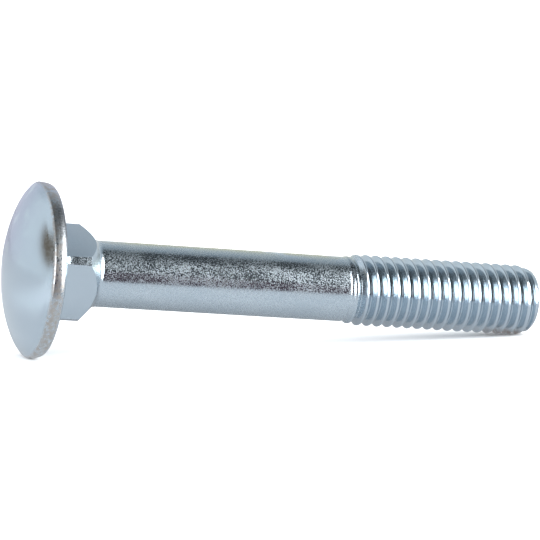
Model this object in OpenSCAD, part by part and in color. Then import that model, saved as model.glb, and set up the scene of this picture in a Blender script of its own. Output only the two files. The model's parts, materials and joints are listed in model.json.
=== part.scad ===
// Square-neck carriage bolt: a domed head, a square neck, a plain shank and a rolled
// right-hand coarse thread, forged from one steel rod and zinc plated.
// It lies on the rim of its head and on its last full thread, as it comes to rest.
// The origin is on the bolt's axis, in the plane of the head's bearing face.

/* [Head] */
// Largest diameter of the head, across the rim
head_d = 23.5; // [20.5:0.1:27]
// Height of the head, from the bearing face to the top of the dome
head_h = 5.25; // [4.4:0.05:7]
// Height of the rim, from the bearing face to the foot of the dome
rim_h = 2.3; // [1.9:0.05:3.2]
// Height of the rim's widest line above the bearing face
rim_wide_h = 1.65; // [0.8:0.05:1.7]
// How far the foot of the dome is set in from the rim
dome_inset = 0.7; // [0.3:0.05:1.2]
// How far the edge of the bearing face is set in from the rim
face_inset = 0.6; // [0.2:0.05:1]
// Fullness of the dome: 1 is a parabola, 0.5 an ellipse
dome_power = 0.84; // [0.6:0.02:1]

/* [Square neck] */
// Width of the neck across its flats
neck_w = 10; // [9.4:0.05:10.6]
// Diameter across the neck's rounded corners
neck_corner_d = 13.1; // [12.4:0.05:13.2]
// Length of the neck's corners, from the bearing face to their taper
neck_h = 4.6; // [3.6:0.1:6.6]
// Slope of the taper that ends the corners
taper_angle = 47; // [35:1:60]
// Radius of the fillet between the taper and the shank
neck_fillet = 1.2; // [0.4:0.1:2]

/* [Shank] */
// Diameter of the plain shank
shank_d = 8.9; // [8.6:0.02:9.1]
// Length of the bolt under its head
bolt_len = 70; // [45:1:120]

/* [Thread] */
// Diameter across the thread's crests
thread_d = 9.85; // [9.7:0.01:10]
// Diameter across the thread's roots
root_d = 8.2; // [8.0:0.02:8.4]
// Distance from one crest to the next
pitch = 1.5; // [1.25:0.25:1.75]
// Length of full thread
thread_len = 26; // [20:1:32]
// Length over which the thread rises out of the shank
runout_len = 2.2; // [1:0.1:4]
// Width of the crests
crest_w = 0.36; // [0.15:0.01:0.45]
// Width of the roots
root_w = 0.2; // [0.1:0.01:0.3]
// Length of the rounded end
end_len = 2.9; // [1.5:0.1:4]
// Diameter of the rounded end at its face
end_d = 8.35; // [7.2:0.05:8.8]
// Bevel on the edge of the end face
end_bevel = 0.35; // [0.1:0.05:0.8]

/* [Turn about the axis] */
// Turn of the square neck
neck_turn = 26; // [0:1:89]
// Turn of the thread's start
thread_turn = 51; // [0:1:359]

/* [Hidden] */

zinc = [0.72, 0.76, 0.80];
head_r = head_d / 2;
neck_corner_r = neck_corner_d / 2;
shank_r = shank_d / 2;
crest_r = thread_d / 2;
root_r = root_d / 2;
end_r = end_d / 2;
dome_r = head_r - dome_inset;
dome_h = head_h - rim_h;
dome_steps = 26;
edge_steps = 7;

// Where the taper's straight line ends and the fillet takes over
fillet_rise = neck_fillet * (1 - cos(taper_angle));
fillet_run = neck_fillet * sin(taper_angle);
taper_h = (neck_corner_r - shank_r - fillet_rise) / tan(taper_angle);
neck_end = neck_h + taper_h + fillet_run;
fillet_steps = 6;

// The thread's form over one pitch, as [share of the pitch, share of the depth]
crest_drop = 0.07;
thread_form = [
    [0, 1],
    [crest_w / 2 / pitch, 1 - crest_drop],
    [0.5 - root_w / 2 / pitch, crest_drop],
    [0.5, 0],
    [0.5 + root_w / 2 / pitch, crest_drop],
    [1 - crest_w / 2 / pitch, 1 - crest_drop],
    [1, 1]
];
form_rows = len(thread_form) - 1;
columns = 32;
thread_start = bolt_len - thread_len - runout_len;
thread_stop = bolt_len - end_bevel;
turns = ceil((thread_stop - thread_start) / pitch) + 2;
rows = turns * form_rows;
// How far the thread's skin runs into the end of the shank, and how far it lies under the surface there
join_len = 1;
join_gap = 0.02;
// Power of the curve that rounds the end
end_curve = 1.7;

// Line through the two places that touch the ground: the rim's edge and the last full crest
last_crest = bolt_len - end_len;
rest_tilt = settle(0, 6);

// Tilt at which a line touches both the rim's rounded edge and the last crest
function settle(tilt, times) =
    times == 0 ? tilt : settle(atan2(rim_low(tilt).y - crest_r, last_crest - rim_low(tilt).x), times - 1);

// Point of the rim that lies lowest at a tilt, as [height along the axis, radius]
function rim_low(tilt) =
    let (edge = atan2(rim_wide_h * sin(tilt), face_inset * cos(tilt)))
    [-rim_wide_h * (1 - sin(edge)), head_r - face_inset * (1 - cos(edge))];

// Radius of the thread's envelope, which draws in over the rounded end
function envelope(h) = crest_r - (crest_r - end_r) * pow(max(0, (h - last_crest) / end_len), end_curve);

// Share of the full depth at a height, from none at the run-out's start
function rise(h) = min(1, (h - thread_start) / runout_len);

// Radius of the threaded surface at a height and at a turn about the axis
function thread_r(h, turn) =
    let (along = (h - thread_start) / pitch - (turn - thread_turn) / 360)
    let (full = root_r + (crest_r - root_r) * lookup(along - floor(along), thread_form))
    let (base = shank_r - join_gap)
    min(base + (full - base) * rise(h), envelope(h));

function column_turn(column) = column * 360 / columns;

function at(r, turn, h) = [r * cos(turn), r * sin(turn), h];

// Height of a grid point before it is held between the thread's two ends: each row follows the helix
function row_height(row, column) =
    thread_start + pitch * (
        floor(row / form_rows) - 1 + thread_form[row % form_rows][0]
        + (column_turn(column) - thread_turn) / 360
    );

// A height held between the two ends of the thread
function held(h) = min(thread_stop, max(thread_start, h));

function thread_point(h, column) = at(thread_r(h, column_turn(column)), column_turn(column), h);

function ring(h, inset = 0) = [
    for (column = [0:columns - 1])
        at(thread_r(held(h), column_turn(column)) - inset, column_turn(column), h)
];

// Number of a grid point, where all that lie past an end share that end's ring
function point_no(row, column) =
    column == columns ? point_no(row + form_rows, 0)
    : row_height(row, column) < thread_start + join_gap ? columns + column
    : row > rows || row_height(row, column) > thread_stop - join_gap ? 2 * columns + column
    : 4 * columns + row * columns + column;

function is_face(f) = f[0] != f[1] && f[1] != f[2] && f[0] != f[2];

// Faces of the band between two rings, each given by the number of its first point
function band(low, high) = [
    for (column = [0:columns - 1])
        let (next = (column + 1) % columns)
        for (f = [[low + column, high + column, high + next], [low + column, high + next, low + next]]) f
];

// Half section of the head, from the top of the dome to the bearing face, as [radius, height]
function head_section() = concat(
    [for (i = [0:dome_steps - 1])
        let (r = dome_r * sin(90 * i / dome_steps))
        [r, -rim_h - dome_h * pow(1 - pow(r / dome_r, 2), dome_power)]],
    [for (i = [0:edge_steps])
        let (a = 90 * i / edge_steps)
        [dome_r + dome_inset * sin(a), -rim_h + (rim_h - rim_wide_h) * (1 - cos(a))]],
    [for (i = [1:edge_steps])
        let (a = 90 * i / edge_steps)
        [head_r - face_inset * (1 - cos(a)), -rim_wide_h * (1 - sin(a))]],
    [[0, 0]]
);

// Half section round the neck's corners, their taper and the fillet into the shank
function neck_section() = concat(
    [[0, -rim_wide_h], [neck_corner_r, -rim_wide_h], [neck_corner_r, neck_h]],
    [for (i = [0:fillet_steps])
        let (a = taper_angle * (1 - i / fillet_steps))
        [shank_r + neck_fillet * (1 - cos(a)), neck_end - neck_fillet * sin(a)]],
    [[0, neck_end]]
);

module head() {
    rotate_extrude($fn = 128) polygon(head_section());
}

module square_neck() {
    intersection() {
        rotate_extrude($fn = 128) polygon(neck_section());
        rotate([0, 0, neck_turn])
            translate([-neck_w / 2, -neck_w / 2, -rim_wide_h])
            cube([neck_w, neck_w, neck_end + rim_wide_h]);
    }
}

module shank() {
    cylinder(r = shank_r, h = thread_start, $fn = 128);
}

// One closed skin: the root inside the shank, the helical rows, the rounded end and its bevel
module rolled_thread() {
    grid = [
        for (row = [0:rows])
            for (column = [0:columns - 1])
                thread_point(held(row_height(row, column)), column)
    ];
    sides = [
        for (row = [0:rows])
            for (column = [0:columns - 1])
                let (a = point_no(row, column))
                let (b = point_no(row + 1, column))
                let (c = point_no(row + 1, column + 1))
                let (d = point_no(row, column + 1))
                for (f = [[a, b, c], [a, c, d]])
                    if (is_face(f)) f
    ];
    polyhedron(
        points = concat(
            ring(thread_start - join_len), ring(thread_start), ring(thread_stop),
            ring(bolt_len, end_bevel), grid
        ),
        faces = concat(
            [[for (column = [0:columns - 1]) column]],
            band(0, columns),
            sides,
            band(2 * columns, 3 * columns),
            [[for (column = [columns - 1:-1:0]) 3 * columns + column]]
        ),
        convexity = 10
    );
}

module carriage_bolt() {
    color(zinc)
        rotate([0, 90 + rest_tilt, 0]) {
            head();
            square_neck();
            shank();
            rolled_thread();
        }
}

carriage_bolt();
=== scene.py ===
import json
import math

import bpy
from mathutils import Matrix, Vector


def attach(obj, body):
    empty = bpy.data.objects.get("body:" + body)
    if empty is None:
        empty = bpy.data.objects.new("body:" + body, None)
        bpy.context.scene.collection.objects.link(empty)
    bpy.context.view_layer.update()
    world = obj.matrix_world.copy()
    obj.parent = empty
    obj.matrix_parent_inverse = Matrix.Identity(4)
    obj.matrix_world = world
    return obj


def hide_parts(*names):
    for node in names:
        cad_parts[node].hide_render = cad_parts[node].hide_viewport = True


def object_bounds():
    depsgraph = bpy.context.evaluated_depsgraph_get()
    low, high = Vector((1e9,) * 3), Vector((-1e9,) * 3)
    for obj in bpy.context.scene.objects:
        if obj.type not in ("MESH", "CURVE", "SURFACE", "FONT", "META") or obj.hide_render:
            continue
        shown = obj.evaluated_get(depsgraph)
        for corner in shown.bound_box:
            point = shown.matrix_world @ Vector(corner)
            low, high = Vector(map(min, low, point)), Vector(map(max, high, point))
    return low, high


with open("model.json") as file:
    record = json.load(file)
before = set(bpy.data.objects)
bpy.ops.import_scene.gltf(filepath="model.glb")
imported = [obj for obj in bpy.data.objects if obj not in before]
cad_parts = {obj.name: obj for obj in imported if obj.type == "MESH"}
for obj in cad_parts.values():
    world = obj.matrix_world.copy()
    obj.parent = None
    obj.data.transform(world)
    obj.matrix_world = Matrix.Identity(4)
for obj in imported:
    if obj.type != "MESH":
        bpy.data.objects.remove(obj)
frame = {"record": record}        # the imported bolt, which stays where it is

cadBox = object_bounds()
mm = 0.001
nearly = 0.00001 * mm      # how close counts as touching, for cuts
closeBy = 0.0005           # mm; how far from its height a vertex may be and still be picked
boltNode = "carriage_bolt"
mounts = {m["name"]: m for m in frame["record"]["mounts"]}
boltAxis = Vector(mounts["square_neck"]["axis"]).normalized()
restTilt = math.atan2(-boltAxis.z, boltAxis.x)      # how far the thread's end hangs below level
groundZ = cadBox[0].z
print("frame loaded, the bolt rests at a tilt of", round(math.degrees(restTilt), 2), "degrees")


def srgb(hexCode):
    # one sRGB hex code to Blender's linear RGBA
    channels = [int(hexCode[i:i + 2], 16) / 255 for i in (1, 3, 5)]
    return [c / 12.92 if c <= 0.04045 else ((c + 0.055) / 1.055) ** 2.4 for c in channels] + [1.0]


def addNode(tree, kind, settings=None, links=None, **attributes):
    # a node with its attributes, its input values and what feeds its inputs
    node = tree.nodes.new(kind)
    for name, value in attributes.items():
        setattr(node, name, value)
    for socket, value in (settings or {}).items():
        node.inputs[socket].default_value = value
    for socket, source in (links or {}).items():
        tree.links.new(source, node.inputs[socket])
    return node


# Camera at the photo's viewing angle, from the head's side and a little above
camera = {
    "place": (-96.2, -379.2, 46.7),     # mm from the centre of the bearing face
    "yaw": 18.61,                       # degrees to the right of +Y
    "down": 6.82,                       # degrees below level
    "lens": 197.6, "sensor": 36,        # mm
    "nearest": 0.01, "farthest": 20,    # m, what it can see
}


def addCamera():
    bpy.ops.object.camera_add(location=[c * mm for c in camera["place"]])
    cam = bpy.context.object
    cam.name = "photoCamera"
    cam.rotation_euler = (math.radians(90 - camera["down"]), 0, math.radians(-camera["yaw"]))
    cam.data.lens = camera["lens"]
    cam.data.sensor_width = camera["sensor"]
    cam.data.clip_start = camera["nearest"]
    cam.data.clip_end = camera["farthest"]
    bpy.context.scene.camera = cam


def emptyHanded():
    # leave edit mode with nothing selected
    if bpy.context.object and bpy.context.object.mode != "OBJECT":
        bpy.ops.object.mode_set(mode="OBJECT")
    bpy.ops.object.select_all(action="DESELECT")


def pickVerts(obj, wanted):
    # select the vertices that wanted() says, with the edges and faces between them, and go into edit mode
    bpy.context.view_layer.objects.active = obj
    bpy.ops.object.mode_set(mode="OBJECT")
    for v in obj.data.vertices:
        v.select = wanted(v.co)
    for e in obj.data.edges:
        e.select = all(obj.data.vertices[i].select for i in e.vertices)
    for f in obj.data.polygons:
        f.select = all(obj.data.vertices[i].select for i in f.vertices)
    bpy.ops.object.mode_set(mode="EDIT")
    bpy.ops.mesh.select_mode(type="VERT")


def applyAll(obj):
    bpy.context.view_layer.objects.active = obj
    for modifier in list(obj.modifiers):
        bpy.ops.object.modifier_apply(modifier=modifier.name)


def lathe(name, section, sides):
    # a ring is extruded from one (radius, height) to the next, as on a lathe; the ends are capped
    emptyHanded()
    radius, height = section[0]
    bpy.ops.mesh.primitive_circle_add(
        vertices=sides, radius=radius * mm, location=(0, 0, height * mm), fill_type="NOTHING")
    obj = bpy.context.object
    obj.name = name
    bpy.ops.object.transform_apply(location=True)
    bpy.ops.object.mode_set(mode="EDIT")
    bpy.ops.mesh.select_mode(type="VERT")
    bpy.ops.mesh.select_all(action="SELECT")
    bpy.ops.mesh.edge_face_add()
    bpy.ops.mesh.select_all(action="SELECT")
    for nextRadius, nextHeight in section[1:]:
        bpy.ops.mesh.extrude_region_move(
            TRANSFORM_OT_translate={"value": (0, 0, (nextHeight - height) * mm)})
        grow = nextRadius / radius
        bpy.ops.transform.resize(
            value=(grow, grow, 1), center_override=(0, 0, nextHeight * mm))
        radius, height = nextRadius, nextHeight
    bpy.ops.mesh.select_all(action="SELECT")
    bpy.ops.mesh.normals_make_consistent(inside=False)
    emptyHanded()
    return obj


# Head, forged: sizes in mm, and heights along the axis from the bearing face
head = {
    "radius": 11.74, "height": 5.24, "sides": 192,
    "domeRadius": 11.05, "domeFoot": 2.3, "domePower": 0.84, "domeSteps": 40,
    # where the dome turns into the rim
    "edgeRadius": 11.58, "edgeHeight": 1.85, "edgeRound": 0.5, "edgeSteps": 8,
    # the rim is a short band that narrows a little
    "bandHeight": 1.15, "bandTaper": 0.05, "bandSteps": 12,
    # bearing face, with a ring a little way in that keeps it flat
    "faceRadius": 11.15, "faceInset": 0.4,
}


def headSection():
    rows = []
    for i in range(1, head["domeSteps"] - 2):      # dome, to a little before its foot
        share = math.sin(math.pi / 2 * i / head["domeSteps"])
        drop = (head["height"] - head["domeFoot"]) * (1 - share ** 2) ** head["domePower"]
        rows.append((head["domeRadius"] * share, -head["domeFoot"] - drop))
    lastRadius, lastHeight = rows[-1]
    rows.append(((lastRadius + head["edgeRadius"]) / 2, (lastHeight - head["edgeHeight"]) / 2))
    slope = math.atan2(-head["edgeHeight"] - lastHeight, head["edgeRadius"] - lastRadius)
    turn = math.asin(math.sin(slope) + (head["radius"] - head["edgeRadius"]) / head["edgeRound"]) - slope
    for i in range(head["edgeSteps"] + 1):      # edge of the dome
        a = slope + turn * i / head["edgeSteps"]
        rows.append((
            head["edgeRadius"] + head["edgeRound"] * (math.sin(a) - math.sin(slope)),
            head["edgeRound"] * (math.cos(slope) - math.cos(a)) - head["edgeHeight"]))
    bandRadius = head["radius"] - head["bandTaper"]
    for i in range(head["bandSteps"] + 1):      # rounding at the bearing face
        a = math.pi / 2 * i / head["bandSteps"]
        rows.append((
            head["faceRadius"] + (bandRadius - head["faceRadius"]) * math.cos(a),
            -head["bandHeight"] * (1 - math.sin(a))))
    rows.append((head["faceRadius"] - head["faceInset"], 0))
    return rows


# Square neck and plain shank, in mm and degrees
neck = {
    "width": 10.0, "height": 4.6, "turn": 26, "sides": 144,
    "sunk": 1.0,                            # depth of its foot in the head
    "cornerRadius": 6.55, "taper": 47,      # the corners end in a cone
    "fillet": 1.2, "filletSteps": 10,
    # the corners grow a little towards the head
    "flare": 0.3, "flareStart": 0.69, "flareHeight": 2.3, "flareSteps": 6,
    "edgeRound": 0.12, "edgeSegments": 3, "edgeAngle": 25,
}
shank = {
    "radius": 4.45, "length": 70,
    "rings": range(10, 41, 5),      # heights of its edge loops
    "join": 0.05,                   # left open before the thread's first ring, and then bridged
}


def neckSection():
    # the corners' cylinder, their taper and the fillet that runs out on the shank
    slope = math.radians(neck["taper"])
    rise = neck["fillet"] * (1 - math.cos(slope))
    taperLength = (neck["cornerRadius"] - shank["radius"] - rise) / math.tan(slope)
    end = neck["height"] + taperLength + neck["fillet"] * math.sin(slope)
    rows = [(neck["cornerRadius"] + neck["flare"], -neck["sunk"])]
    for i in range(neck["flareSteps"] + 1):
        share = i / neck["flareSteps"]
        rows.append((
            neck["cornerRadius"] + neck["flare"] * (1 - share) ** 2,
            neck["flareStart"] + (neck["flareHeight"] - neck["flareStart"]) * share))
    rows.append((neck["cornerRadius"], neck["height"]))
    for i in range(neck["filletSteps"] + 1):
        a = slope * (1 - i / neck["filletSteps"])
        rows.append((
            shank["radius"] + neck["fillet"] * (1 - math.cos(a)), end - neck["fillet"] * math.sin(a)))
    return rows


def addNeck():
    # the four flats are cut off the turned corners, then the shank is drawn up from the fillet
    section = neckSection()
    top = section[-1][1]
    obj = lathe("shaft", section, neck["sides"])
    bpy.context.view_layer.objects.active = obj
    bpy.ops.object.mode_set(mode="EDIT")
    for k in range(4):
        a = math.radians(neck["turn"] + 90 * k)
        outward = (math.cos(a), math.sin(a), 0)
        bpy.ops.mesh.select_all(action="SELECT")
        bpy.ops.mesh.bisect(
            plane_co=[c * neck["width"] / 2 * mm for c in outward], plane_no=outward,
            use_fill=True, clear_outer=True, threshold=nearly)
    pickVerts(obj, lambda co: co.z > (top - closeBy) * mm)
    bpy.ops.mesh.delete(type="ONLY_FACE")
    bpy.ops.object.mode_set(mode="OBJECT")
    soften = obj.modifiers.new("soften", "BEVEL")
    soften.width = neck["edgeRound"] * mm
    soften.segments = neck["edgeSegments"]
    soften.angle_limit = math.radians(neck["edgeAngle"])
    applyAll(obj)
    pickVerts(obj, lambda co: co.z > (top - closeBy) * mm)
    for height in [*shank["rings"], threadStart - shank["join"]]:
        bpy.ops.mesh.extrude_region_move(TRANSFORM_OT_translate={"value": (0, 0, (height - top) * mm)})
        top = height
    emptyHanded()
    return obj, top


# Rolled thread, in mm and degrees: it rises out of the shank over its run-out and ends in a rounded point
thread = {
    "pitch": 1.5, "length": 26, "runout": 2.2, "turn": 231, "sides": 96,
    "crestRadius": 4.92, "crestWidth": 0.3, "crestLean": 0.1,       # the lean is a share of its depth
    "rootRadius": 3.98, "rootWidth": 0.16,
    "round": 0.05, "roundSteps": 4, "formPoints": 32,
    "endLength": 2.9, "endRadius": 4.175, "endPower": 1.7, "endBevel": 0.35,
    "spareTurns": 1.5,      # wound before its start and cut off again
}
threadFull = shank["length"] - thread["length"]      # height where it reaches its full depth
threadStart = threadFull - thread["runout"]


def threadForm():
    # one pitch, crest to crest, as (radius, height); the mean over a short stretch rounds crests and roots
    pitch, crest, lean = thread["pitch"], thread["crestWidth"], thread["crestLean"]
    flank = (pitch - crest - thread["rootWidth"]) / 2
    steps = thread["roundSteps"]
    rows = []
    for i in range(thread["formPoints"] + 1):
        height = pitch * i / thread["formPoints"]
        depths = []
        for k in range(-steps, steps + 1):
            away = (height + thread["round"] * k / steps + pitch / 2) % pitch - pitch / 2
            down = max(0, (abs(away) - crest / 2) / flank)
            leant = min(1, max(0, away / crest + 0.5)) * lean      # the crest falls towards the end
            depths.append(min(1, leant + (1 - leant) * down))
        deep = sum(depths) / len(depths)
        rows.append((thread["crestRadius"] - (thread["crestRadius"] - thread["rootRadius"]) * deep, height))
    return rows


def windThread(stop):
    # one vertex of a plane is kept, drawn along the thread's form and wound up the axis
    half = 0.5      # mm, from the plane's middle to its sides
    emptyHanded()
    bpy.ops.mesh.primitive_plane_add(size=2 * half * mm)
    obj = bpy.context.object
    obj.name = "thread"
    pickVerts(obj, lambda co: not (co.x > 0 and co.y > 0))
    bpy.ops.mesh.delete(type="VERT")
    form = threadForm()
    bpy.ops.mesh.select_all(action="SELECT")
    bpy.ops.transform.translate(value=((form[0][0] - half) * mm, -half * mm, form[0][1] * mm))
    for (r0, h0), (r1, h1) in zip(form, form[1:]):
        bpy.ops.mesh.extrude_vertices_move(
            TRANSFORM_OT_translate={"value": ((r1 - r0) * mm, 0, (h1 - h0) * mm)})
    bpy.ops.object.mode_set(mode="OBJECT")
    wind = obj.modifiers.new("wind", "SCREW")
    wind.axis = "Z"
    wind.screw_offset = thread["pitch"] * mm
    wind.iterations = math.ceil((stop - threadStart) / thread["pitch"] + thread["spareTurns"])
    wind.steps = wind.render_steps = thread["sides"]
    wind.use_merge_vertices = True
    applyAll(obj)
    obj.location = (0, 0, (threadStart - thread["spareTurns"] * thread["pitch"]) * mm)
    obj.rotation_euler = (0, 0, math.radians(thread["turn"]))
    bpy.ops.object.transform_apply(location=True, rotation=True)
    bpy.ops.object.mode_set(mode="EDIT")
    bpy.ops.mesh.select_all(action="SELECT")
    bpy.ops.mesh.remove_doubles(threshold=0.001 * mm)
    for height, keepAbove in ((threadStart, True), (stop, False)):
        bpy.ops.mesh.select_all(action="SELECT")
        bpy.ops.mesh.bisect(
            plane_co=(0, 0, height * mm), plane_no=(0, 0, 1), threshold=nearly,
            clear_inner=keepAbove, clear_outer=not keepAbove)
    bpy.ops.object.mode_set(mode="OBJECT")
    return obj


def addThread():
    stop = shank["length"] - thread["endBevel"]
    obj = windThread(stop)
    for v in obj.data.vertices:      # the thread rises out of the shank and draws in over the rounded end
        radius, height = v.co.xy.length / mm, v.co.z / mm
        rise = min(1, max(0, (height - threadStart) / thread["runout"]))
        over = max(0, (height - shank["length"] + thread["endLength"]) / thread["endLength"])
        drawIn = (thread["crestRadius"] - thread["endRadius"]) * over ** thread["endPower"]
        wanted = min(
            shank["radius"] + (radius - shank["radius"]) * rise, thread["crestRadius"] - drawIn)
        v.co.x *= wanted / radius
        v.co.y *= wanted / radius
    # bevelled end
    pickVerts(obj, lambda co: co.z > (stop - closeBy) * mm)
    inward = 1 - thread["endBevel"] / thread["endRadius"]
    bpy.ops.mesh.extrude_region_move(TRANSFORM_OT_translate={"value": (0, 0, thread["endBevel"] * mm)})
    bpy.ops.transform.resize(value=(inward, inward, 1), center_override=(0, 0, shank["length"] * mm))
    bpy.ops.mesh.edge_face_add()
    emptyHanded()
    return obj


smoothAngle = 40      # degrees; edges sharper than this stay sharp


def addBolt():
    shaft, shankTop = addNeck()
    screw = addThread()
    emptyHanded()
    screw.select_set(True)
    shaft.select_set(True)
    bpy.context.view_layer.objects.active = shaft
    bpy.ops.object.join()
    pickVerts(shaft, lambda co: min(abs(co.z / mm - end) for end in (shankTop, threadStart)) < closeBy)
    bpy.ops.mesh.bridge_edge_loops()
    bpy.ops.mesh.select_all(action="SELECT")
    bpy.ops.mesh.normals_make_consistent(inside=False)
    emptyHanded()
    bolt = lathe("carriageBolt", headSection(), head["sides"])
    weld = bolt.modifiers.new("weld", "BOOLEAN")
    weld.operation = "UNION"
    weld.solver = "EXACT"
    weld.object = shaft
    applyAll(bolt)
    bpy.data.objects.remove(shaft)
    bolt.rotation_euler = (0, math.pi / 2 + restTilt, 0)
    emptyHanded()
    bolt.select_set(True)
    bpy.context.view_layer.objects.active = bolt
    bpy.ops.object.transform_apply(rotation=True)
    bpy.ops.object.shade_smooth_by_angle(angle=math.radians(smoothAngle))
    emptyHanded()
    print("bolt modelled,", len(bolt.data.polygons), "faces")
    return bolt


# Bright zinc plated steel: a pale blue-white metal, satin over the drawn and forged steel below.
# Its crystals mirror here and scatter there, so what is dark in the mirror is full of small light specks,
# and its thin passivation film tints it lilac to straw yellow where it is seen at a flat angle.
zinc = {
    "colour": "#c2d0da", "speckColour": "#ccd8e0",
    "mirrorRoughness": 0.16, "threadRoughness": 0.19, "speckRoughness": 0.38,
    "speckSize": 0.17,              # mm; real crystals are about 0.05, drawn coarser so that they show
    "speckLevels": (0.69, 0.87),    # levels of the noise where the specks begin and are full
    "mottleSize": 2.5,              # mm, cloudy patches of thicker and thinner plating
    "mottleShare": 0.5,             # how much they add to the crystals' noise
    "stretch": 0.4,                 # the patches are drawn out along the bolt
    "bumpDepth": 0.01,              # mm
    # the forged head and the rolled thread have this share of the drawn shank's specks and grain
    "smoothSpecks": 0.4, "smoothGrain": 0.3,
    "cornerSpecks": 0.2,            # how far the neck's corners are like the drawn shank
    # passivation film: lilac on the head and straw yellow further on, with less of it on the thread
    "lilac": "#d6c8de", "straw": "#e6cc5e",
    "filmShare": 0.55, "threadFilm": 0.35, "filmLevels": (0.32, 0.5),
    # rim, rubbed in the tumbling drum, in patches of about this size in mm
    "wornColour": "#b6b3af", "wornRoughness": 0.42, "wornSize": 0.55, "wornLevels": (0.3, 0.6),
    # painted dark reflection on the rim's upper half, with a little of it left at the dome's edge, broken
    # up by the crystals' noise
    "paintedDarkColour": "#5f6367", "paintedDarkAtDome": 0.15, "paintedDarkLevels": (0.4, 0.6), "paintedDarkThin": 0.75,
    # painted warm reflection: brownish, on the underside of the last turns of the thread
    "paintedWarmReflection": "#7d6654",           # brownish, under the last turns of the thread
    # zones, measured along the bolt from its bearing face, or up or out from its axis: each comes in
    # between these two places, in mm
    "zones": {
        "pastNeck": ("along", 6.5, 7.5),
        "onThread": ("along", threadFull - 2, threadFull),
        "cornerOut": ("out", neck["cornerRadius"] - 0.35, neck["cornerRadius"] - 0.15),
        "pastFace": ("along", 0.3, 0.8),
        "pastDome": ("along", -head["edgeHeight"] - 0.2, -head["edgeHeight"] + 0.05),
        "beforeFace": ("along", -0.05, -0.3),
        "farOut": ("out", head["radius"] - 0.44, head["radius"] - 0.24),
        "outer": ("out", head["radius"] - 0.64, head["radius"] - 0.49),
        "upper": ("up", -1, 3),
        "further": ("along", 1, 12),
    },
    "softZones": {
        "above": ("up", 2, 6),
        "belowTop": ("up", 11, 8.5),
        "towardsFace": ("along", -1.9, -0.9),
        "lastTurns": ("along", shank["length"] - 9, shank["length"] - 4),
        "underneath": ("up", -3.6, -4.6),
    },
}


def platingZones(tree):
    # the place on the bolt with X along it, and for each zone how far a place is in it, from 0 to 1
    place = addNode(
        tree, "ShaderNodeMapping", {"Rotation": (0, -restTilt, 0)},
        {"Vector": addNode(tree, "ShaderNodeTexCoord").outputs["Object"]}).outputs["Vector"]
    split = addNode(tree, "ShaderNodeSeparateXYZ", None, {"Vector": place}).outputs
    across = addNode(
        tree, "ShaderNodeCombineXYZ", None, {"Y": split["Y"], "Z": split["Z"]}).outputs["Vector"]
    radius = addNode(
        tree, "ShaderNodeVectorMath", None, {0: across}, operation="LENGTH").outputs["Value"]
    ways = {"along": split["X"], "up": split["Z"], "out": radius}
    zone = {}
    for change, zones in (("LINEAR", zinc["zones"]), ("SMOOTHSTEP", zinc["softZones"])):
        for name, (way, start, full) in zones.items():
            zone[name] = addNode(
                tree, "ShaderNodeMapRange", {"From Min": start * mm, "From Max": full * mm},
                {"Value": ways[way]}, interpolation_type=change).outputs["Result"]
    # the drawn shank, between the neck and the thread
    zone["drawn"] = addNode(
        tree, "ShaderNodeMath", None, {0: zone["pastNeck"], 1: zone["onThread"]},
        operation="SUBTRACT").outputs["Value"]
    return place, zone


def platingNoise(tree, place):
    drawnOut = addNode(
        tree, "ShaderNodeMapping", {"Scale": (zinc["stretch"], 1, 1)}, {"Vector": place}).outputs["Vector"]
    kinds = {      # size in mm, detail, roughness and place
        "mottle": (zinc["mottleSize"], 4.0, 0.6, drawnOut),
        "waves": (zinc["mottleSize"], 1.0, 0.5, drawnOut),
        "crystals": (zinc["speckSize"], 2.0, 0.6, place),
        "wear": (zinc["wornSize"], 4.0, 0.65, place),
    }
    noise = {}
    for name, (size, detail, roughness, where) in kinds.items():
        noise[name] = addNode(
            tree, "ShaderNodeTexNoise",
            {"Scale": 1 / (size * mm), "Detail": detail, "Roughness": roughness},
            {"Vector": where}).outputs["Fac"]
    return noise


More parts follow.
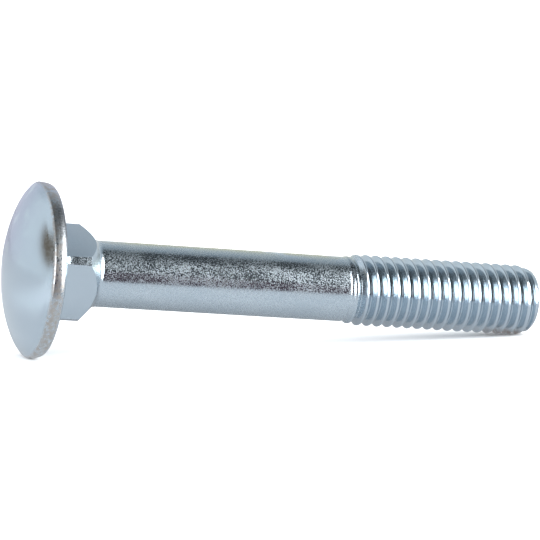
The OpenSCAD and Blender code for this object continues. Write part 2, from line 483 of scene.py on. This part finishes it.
def platingMarks(tree, zone, noise):
    # for each mark on the plating how strong it is, from 0 to 1
    # more crystals scatter where the plating is thick
    clouded = addNode(
        tree, "ShaderNodeMath", {1: zinc["mottleShare"]}, {0: noise["mottle"], 2: noise["crystals"]},
        operation="MULTIPLY_ADD")
    sources = {      # a noise, between which levels it comes in, and up to how much
        "dots": (clouded.outputs["Value"], zinc["speckLevels"], 1.0),
        "patches": (noise["wear"], zinc["wornLevels"], 1.0),
        "thick": (noise["mottle"], zinc["filmLevels"], zinc["filmShare"]),
    }
    cut = {}
    for name, (source, (start, full), most) in sources.items():
        cut[name] = addNode(
            tree, "ShaderNodeMapRange", {"From Min": start, "From Max": full, "To Max": most},
            {"Value": source}, interpolation_type="SMOOTHSTEP").outputs["Result"]
    start, full = zinc["paintedDarkLevels"]
    broken = addNode(
        tree, "ShaderNodeMapRange", {"From Min": start, "From Max": full, "To Min": zinc["paintedDarkThin"]},
        {"Value": noise["crystals"]}).outputs["Result"]
    towardsFace = addNode(
        tree, "ShaderNodeMapRange", {"To Min": zinc["paintedDarkAtDome"]},
        {"Value": zone["towardsFace"]}).outputs["Result"]
    rolledOff = addNode(
        tree, "ShaderNodeMapRange", {"To Min": 1.0, "To Max": zinc["threadFilm"]},
        {"Value": zone["onThread"]}).outputs["Result"]
    corner = addNode(
        tree, "ShaderNodeMath", None, {0: zone["cornerOut"], 1: zone["pastFace"]}, operation="MULTIPLY")
    speckled = addNode(
        tree, "ShaderNodeMath", {1: zinc["cornerSpecks"]}, {0: corner.outputs["Value"], 2: zone["drawn"]},
        operation="MULTIPLY_ADD")
    speckShare = addNode(
        tree, "ShaderNodeMapRange", {"To Min": zinc["smoothSpecks"]},
        {"Value": speckled.outputs["Value"]}).outputs["Result"]
    # a mark is where all of these are; the painted dark reflection is on the rim's upper half, but not at
    # its top
    overlaps = {
        "specks": [cut["dots"], speckShare],
        "rubbed": [zone["pastDome"], zone["beforeFace"], zone["farOut"], cut["patches"]],
        "paintedDark": [zone["above"], zone["belowTop"], zone["outer"], zone["pastDome"], towardsFace, broken],
        # painted warm reflection, only on the underside of the last turns
        "paintedWarmReflection": [zone["lastTurns"], zone["underneath"], cut["patches"]],
        "film": [cut["thick"], rolledOff, zone["upper"]],
    }
    marks = {}
    for name, (mark, *others) in overlaps.items():
        for other in others:
            mark = addNode(
                tree, "ShaderNodeMath", None, {0: mark, 1: other}, operation="MULTIPLY").outputs["Value"]
        marks[name] = mark
    # the rubbed rim together with the painted dark reflection on its upper half
    marks["worn"] = addNode(
        tree, "ShaderNodeMath", None, {0: marks["rubbed"], 1: marks["paintedDark"]},
        operation="MAXIMUM").outputs["Value"]
    return marks


def platingColour(tree, marks):
    plated = addNode(
        tree, "ShaderNodeMix", {6: srgb(zinc["colour"]), 7: srgb(zinc["speckColour"])},
        {0: marks["specks"]}, data_type="RGBA")
    # rubbed rim in its worn colour, with the painted dark reflection darkening the rim's upper half
    wornTint = addNode(
        tree, "ShaderNodeMix", {6: srgb(zinc["wornColour"]), 7: srgb(zinc["paintedDarkColour"])},
        {0: marks["paintedDark"]}, data_type="RGBA")
    wornPlating = addNode(
        tree, "ShaderNodeMix", None, {0: marks["worn"], 6: plated.outputs[2], 7: wornTint.outputs[2]},
        data_type="RGBA")
    # painted warm reflection under the last turns of the thread
    return addNode(
        tree, "ShaderNodeMix", {7: srgb(zinc["paintedWarmReflection"])}, {0: marks["paintedWarmReflection"], 6: wornPlating.outputs[2]},
        data_type="RGBA").outputs[2]


def filmColour(tree, zone, marks):
    # the passivation film, which the shader shows at flat angles
    filmTint = addNode(
        tree, "ShaderNodeMix", {6: srgb(zinc["lilac"]), 7: srgb(zinc["straw"])}, {0: zone["further"]},
        data_type="RGBA")
    return addNode(
        tree, "ShaderNodeMix", {6: srgb("#ffffff")}, {0: marks["film"], 7: filmTint.outputs[2]},
        data_type="RGBA").outputs[2]


def platingRoughness(tree, zone, marks):
    smooth = addNode(
        tree, "ShaderNodeMix", {2: zinc["mirrorRoughness"], 3: zinc["threadRoughness"]},
        {0: zone["onThread"]})
    satin = addNode(
        tree, "ShaderNodeMix", {3: zinc["speckRoughness"]}, {0: marks["specks"], 2: smooth.outputs[0]})
    return addNode(
        tree, "ShaderNodeMix", {3: zinc["wornRoughness"]},
        {0: marks["worn"], 2: satin.outputs[0]}).outputs[0]


def platingBump(tree, zone, noise):
    # grain of the drawn steel on soft waves of the plating
    grain = addNode(tree, "ShaderNodeMapRange", {"To Min": zinc["smoothGrain"]}, {"Value": zone["drawn"]})
    grit = addNode(
        tree, "ShaderNodeMath", None, {0: noise["crystals"], 1: grain.outputs["Result"]},
        operation="MULTIPLY")
    height = addNode(
        tree, "ShaderNodeMath", None, {0: grit.outputs["Value"], 1: noise["waves"]}, operation="ADD")
    return addNode(
        tree, "ShaderNodeBump", {"Strength": 1.0, "Distance": zinc["bumpDepth"] * mm},
        {"Height": height.outputs["Value"]}).outputs["Normal"]


def zincPlatedSteel():
    material = bpy.data.materials.new("bright zinc plated steel")
    material.use_nodes = True
    tree = material.node_tree
    tree.nodes.clear()
    place, zone = platingZones(tree)
    noise = platingNoise(tree, place)
    marks = platingMarks(tree, zone, noise)
    metal = addNode(tree, "ShaderNodeBsdfPrincipled", {"Metallic": 1.0}, {
        "Base Color": platingColour(tree, marks),
        "Specular Tint": filmColour(tree, zone, marks),
        "Roughness": platingRoughness(tree, zone, marks),
        "Normal": platingBump(tree, zone, noise)})
    addNode(tree, "ShaderNodeOutputMaterial", None, {"Surface": metal.outputs["BSDF"]})
    return material


# Studio: pale floor and soft lights, placed so that the plating mirrors what it mirrors in the photo
studio = {
    "floor": "#f4f5f6", "floorSize": 8.0,       # m
    "paintRoughness": 0.9, "paintGloss": 0.1,
    "roomLight": "#f2f4f6", "light": 2.0,       # even light, and its strength
    "board": "#b5b6b8",         # pale board that the metal mirrors
    "boardFront": -31.0,        # mm; it ends here, in front of the bolt
    "underBolt": 0.55,          # share of its brightness left in the bolt's shade
    "leftLight": 0.4,           # how much brighter it is in front of the head, on its left
    "boardZones": {             # each comes in between these two places, in mm
        "shadeFront": ("Y", -10, 5), "shadeBack": ("Y", 60, 15),
        "shadeLeft": ("X", -8, 2), "shadeRight": ("X", 100, 70),
        "leftward": ("X", -15, -40), "frontward": ("Y", 90, -10),
    },
    "warmDark": "#4f3f48", "coolDark": "#262c2f",       # the dark front, low and high
    "darkTurn": 12,             # degrees that it is turned to the left
    "side": "#eef4f9",          # pale wall at the left
    # dark spot in that wall, which the dome mirrors
    "spot": "#786959", "spotWay": (-0.93, 0.1, 0.33), "spotStretch": (1.6, 0.75), "spotReach": (0.36, 0.17),
    "skyZones": {               # each comes in between these two directions
        "low": ("Z", 0.32, 0.12), "left": ("X", -0.3, -0.6), "behind": ("Y", -0.36, -0.2),
    },
    # brightness round the bolt: degrees about its length, from the front over the top to the back
    "sky": [(99, "#000000"), (108, "#8f989f"), (130, "#bbc3ca"), (155, "#dfe6ed"), (178, "#eef3f8")],
}


def plainMaterial(name, hexCode):
    material = bpy.data.materials.new(name)
    material.use_nodes = True
    shader = material.node_tree.nodes["Principled BSDF"]
    shader.inputs["Base Color"].default_value = srgb(hexCode)
    shader.inputs["Roughness"].default_value = studio["paintRoughness"]
    shader.inputs["Specular IOR Level"].default_value = studio["paintGloss"]
    return material


def addFloor():
    # the camera sees the floor, and the metal mirrors the board instead
    emptyHanded()
    bpy.ops.mesh.primitive_plane_add(size=studio["floorSize"], location=(0, 0, groundZ))
    floor = bpy.context.object
    floor.name = "floor"
    floor.visible_glossy = False
    floor.data.materials.append(plainMaterial("matt white board", studio["floor"]))


def boardLight(tree):
    # how light the board is from place to place
    place = addNode(tree, "ShaderNodeTexCoord").outputs["Object"]
    split = addNode(tree, "ShaderNodeSeparateXYZ", None, {"Vector": place}).outputs
    zone = {}
    for name, (axis, start, full) in studio["boardZones"].items():
        zone[name] = addNode(
            tree, "ShaderNodeMapRange", {"From Min": start * mm, "From Max": full * mm},
            {"Value": split[axis]}, interpolation_type="SMOOTHSTEP").outputs["Result"]
    # the bolt's shade on it, behind and under the shank, softly opening out
    shaded = zone["shadeFront"]
    for name in ("shadeBack", "shadeLeft", "shadeRight"):
        shaded = addNode(
            tree, "ShaderNodeMath", None, {0: shaded, 1: zone[name]}, operation="MULTIPLY").outputs["Value"]
    unshaded = addNode(
        tree, "ShaderNodeMapRange", {"To Min": 1.0, "To Max": studio["underBolt"]}, {"Value": shaded})
    # more light falls in front of the head, on its left
    brighter = addNode(
        tree, "ShaderNodeMath", {1: studio["leftLight"]}, {0: zone["leftward"]}, operation="MULTIPLY")
    return addNode(
        tree, "ShaderNodeMath", None, {
            0: brighter.outputs["Value"], 1: zone["frontward"], 2: unshaded.outputs["Result"]},
        operation="MULTIPLY_ADD").outputs["Value"]


def addMirroredBoard():
    # only the metal sees it; it ends a little in front of the bolt
    emptyHanded()
    depth = studio["floorSize"] / 2
    bpy.ops.mesh.primitive_plane_add(size=1, location=(0, 0, groundZ))
    board = bpy.context.object
    board.name = "mirroredBoard"
    board.scale = (studio["floorSize"], depth, 1)
    board.location.y = studio["boardFront"] * mm + depth / 2
    bpy.ops.object.transform_apply(location=True, rotation=False, scale=True)
    board.visible_camera = board.visible_diffuse = board.visible_shadow = False
    paint = plainMaterial("matt pale board", studio["board"])
    tree = paint.node_tree
    tint = addNode(
        tree, "ShaderNodeMix", {0: 1.0, 6: srgb(studio["board"])}, {7: boardLight(tree)},
        data_type="RGBA", blend_type="MULTIPLY")
    tree.links.new(tint.outputs[2], tree.nodes["Principled BSDF"].inputs["Base Color"])
    board.data.materials.append(paint)


def skyRamp(tree, direction, split):
    # brightness by the angle round the bolt's length
    turned = math.radians(studio["darkTurn"])
    ahead = addNode(
        tree, "ShaderNodeVectorMath", {1: (-math.sin(turned), -math.cos(turned), 0)}, {0: direction},
        operation="DOT_PRODUCT").outputs["Value"]
    around = addNode(tree, "ShaderNodeMath", None, {0: split["Z"], 1: ahead}, operation="ARCTAN2")
    turn = addNode(
        tree, "ShaderNodeMapRange", {"From Max": math.pi}, {"Value": around.outputs["Value"]})
    sky = addNode(tree, "ShaderNodeValToRGB", None, {"Fac": turn.outputs["Result"]})
    stops = sky.color_ramp.elements
    for (angle, colour), old in zip(studio["sky"], list(stops)):
        old.position, old.color = angle / 180, srgb(colour)
    for angle, colour in studio["sky"][2:]:
        stops.new(angle / 180).color = srgb(colour)
    return sky.outputs["Color"]


def sideWall(tree, direction):
    # pale wall at the left with a dark spot in it, which is wider than it is high
    wide, high = studio["spotStretch"]
    squeezed = addNode(
        tree, "ShaderNodeMapping", {"Scale": (1, 1 / wide, 1 / high)},
        {"Vector": direction}).outputs["Vector"]
    way = Vector(studio["spotWay"]).normalized()
    toSpot = addNode(
        tree, "ShaderNodeVectorMath", {1: (way.x, way.y / wide, way.z / high)}, {0: squeezed},
        operation="DISTANCE").outputs["Value"]
    start, full = studio["spotReach"]
    spot = addNode(
        tree, "ShaderNodeMapRange", {"From Min": start, "From Max": full}, {"Value": toSpot},
        interpolation_type="SMOOTHSTEP")
    return addNode(
        tree, "ShaderNodeMix", {6: srgb(studio["side"]), 7: srgb(studio["spot"])},
        {0: spot.outputs["Result"]}, data_type="RGBA").outputs[2]


def addSky():
    world = bpy.data.worlds.new("studioSky")
    bpy.context.scene.world = world
    world.use_nodes = True
    tree = world.node_tree
    tree.nodes.clear()
    direction = addNode(tree, "ShaderNodeTexCoord").outputs["Generated"]
    split = addNode(tree, "ShaderNodeSeparateXYZ", None, {"Vector": direction}).outputs
    zone = {}
    for name, (axis, start, full) in studio["skyZones"].items():
        zone[name] = addNode(
            tree, "ShaderNodeMapRange", {"From Min": start, "From Max": full},
            {"Value": split[axis]}, interpolation_type="SMOOTHSTEP").outputs["Result"]
    dark = addNode(
        tree, "ShaderNodeMix", {6: srgb(studio["coolDark"]), 7: srgb(studio["warmDark"])},
        {0: zone["low"]}, data_type="RGBA")
    front = addNode(
        tree, "ShaderNodeMix", {0: 1.0}, {6: skyRamp(tree, direction, split), 7: dark.outputs[2]},
        data_type="RGBA", blend_type="LIGHTEN")
    wall = addNode(
        tree, "ShaderNodeMath", None, {0: zone["left"], 1: zone["behind"]}, operation="MULTIPLY")
    both = addNode(
        tree, "ShaderNodeMix", None,
        {0: wall.outputs["Value"], 6: front.outputs[2], 7: sideWall(tree, direction)}, data_type="RGBA")
    # the metal mirrors all this, and everything else sees an even light
    mirrored = addNode(tree, "ShaderNodeBackground", {"Strength": 1.0}, {"Color": both.outputs[2]})
    plain = addNode(
        tree, "ShaderNodeBackground", {"Color": srgb(studio["roomLight"]), "Strength": studio["light"]})
    paths = addNode(tree, "ShaderNodeLightPath")
    seen = addNode(tree, "ShaderNodeMixShader", None, {
        0: paths.outputs["Is Glossy Ray"],
        1: plain.outputs["Background"], 2: mirrored.outputs["Background"]})
    addNode(tree, "ShaderNodeOutputWorld", None, {"Surface": seen.outputs["Shader"]})


# Softboxes, in m and W: where each stands as seen from the bolt, in degrees from its length and round it
# from level front
softboxes = {
    "keyLight": {"fromAxis": 35, "around": 25, "distance": 1.2, "width": 0.8, "height": 1.4, "power": 25},
    "fillLight": {"fromAxis": 132, "around": 16, "distance": 1.2, "width": 1.1, "height": 1.0, "power": 9},
}


def addSoftbox(name, box):
    middle = (cadBox[0] + cadBox[1]) / 2
    along, around = math.radians(box["fromAxis"]), math.radians(box["around"])
    away = Vector((
        math.cos(along), -math.sin(along) * math.cos(around), math.sin(along) * math.sin(around)))
    upright = Vector((0, math.sin(around), math.cos(around)))
    side = upright.cross(away).normalized()
    bpy.ops.object.light_add(type="AREA", location=middle + away * box["distance"])
    light = bpy.context.object
    light.name = name
    light.rotation_euler = Matrix((side, upright, away)).transposed().to_euler()
    light.data.shape = "ELLIPSE"
    light.data.size = box["width"]
    light.data.size_y = box["height"]
    light.data.energy = box["power"]


addCamera()
print("camera set")
bolt = addBolt()
bolt.data.materials.append(zincPlatedSteel())
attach(bolt, "root")
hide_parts(boltNode)
addFloor()
addMirroredBoard()
addSky()
for name, box in softboxes.items():
    addSoftbox(name, box)
bpy.context.scene.view_settings.view_transform = "Standard"
print("studio set")
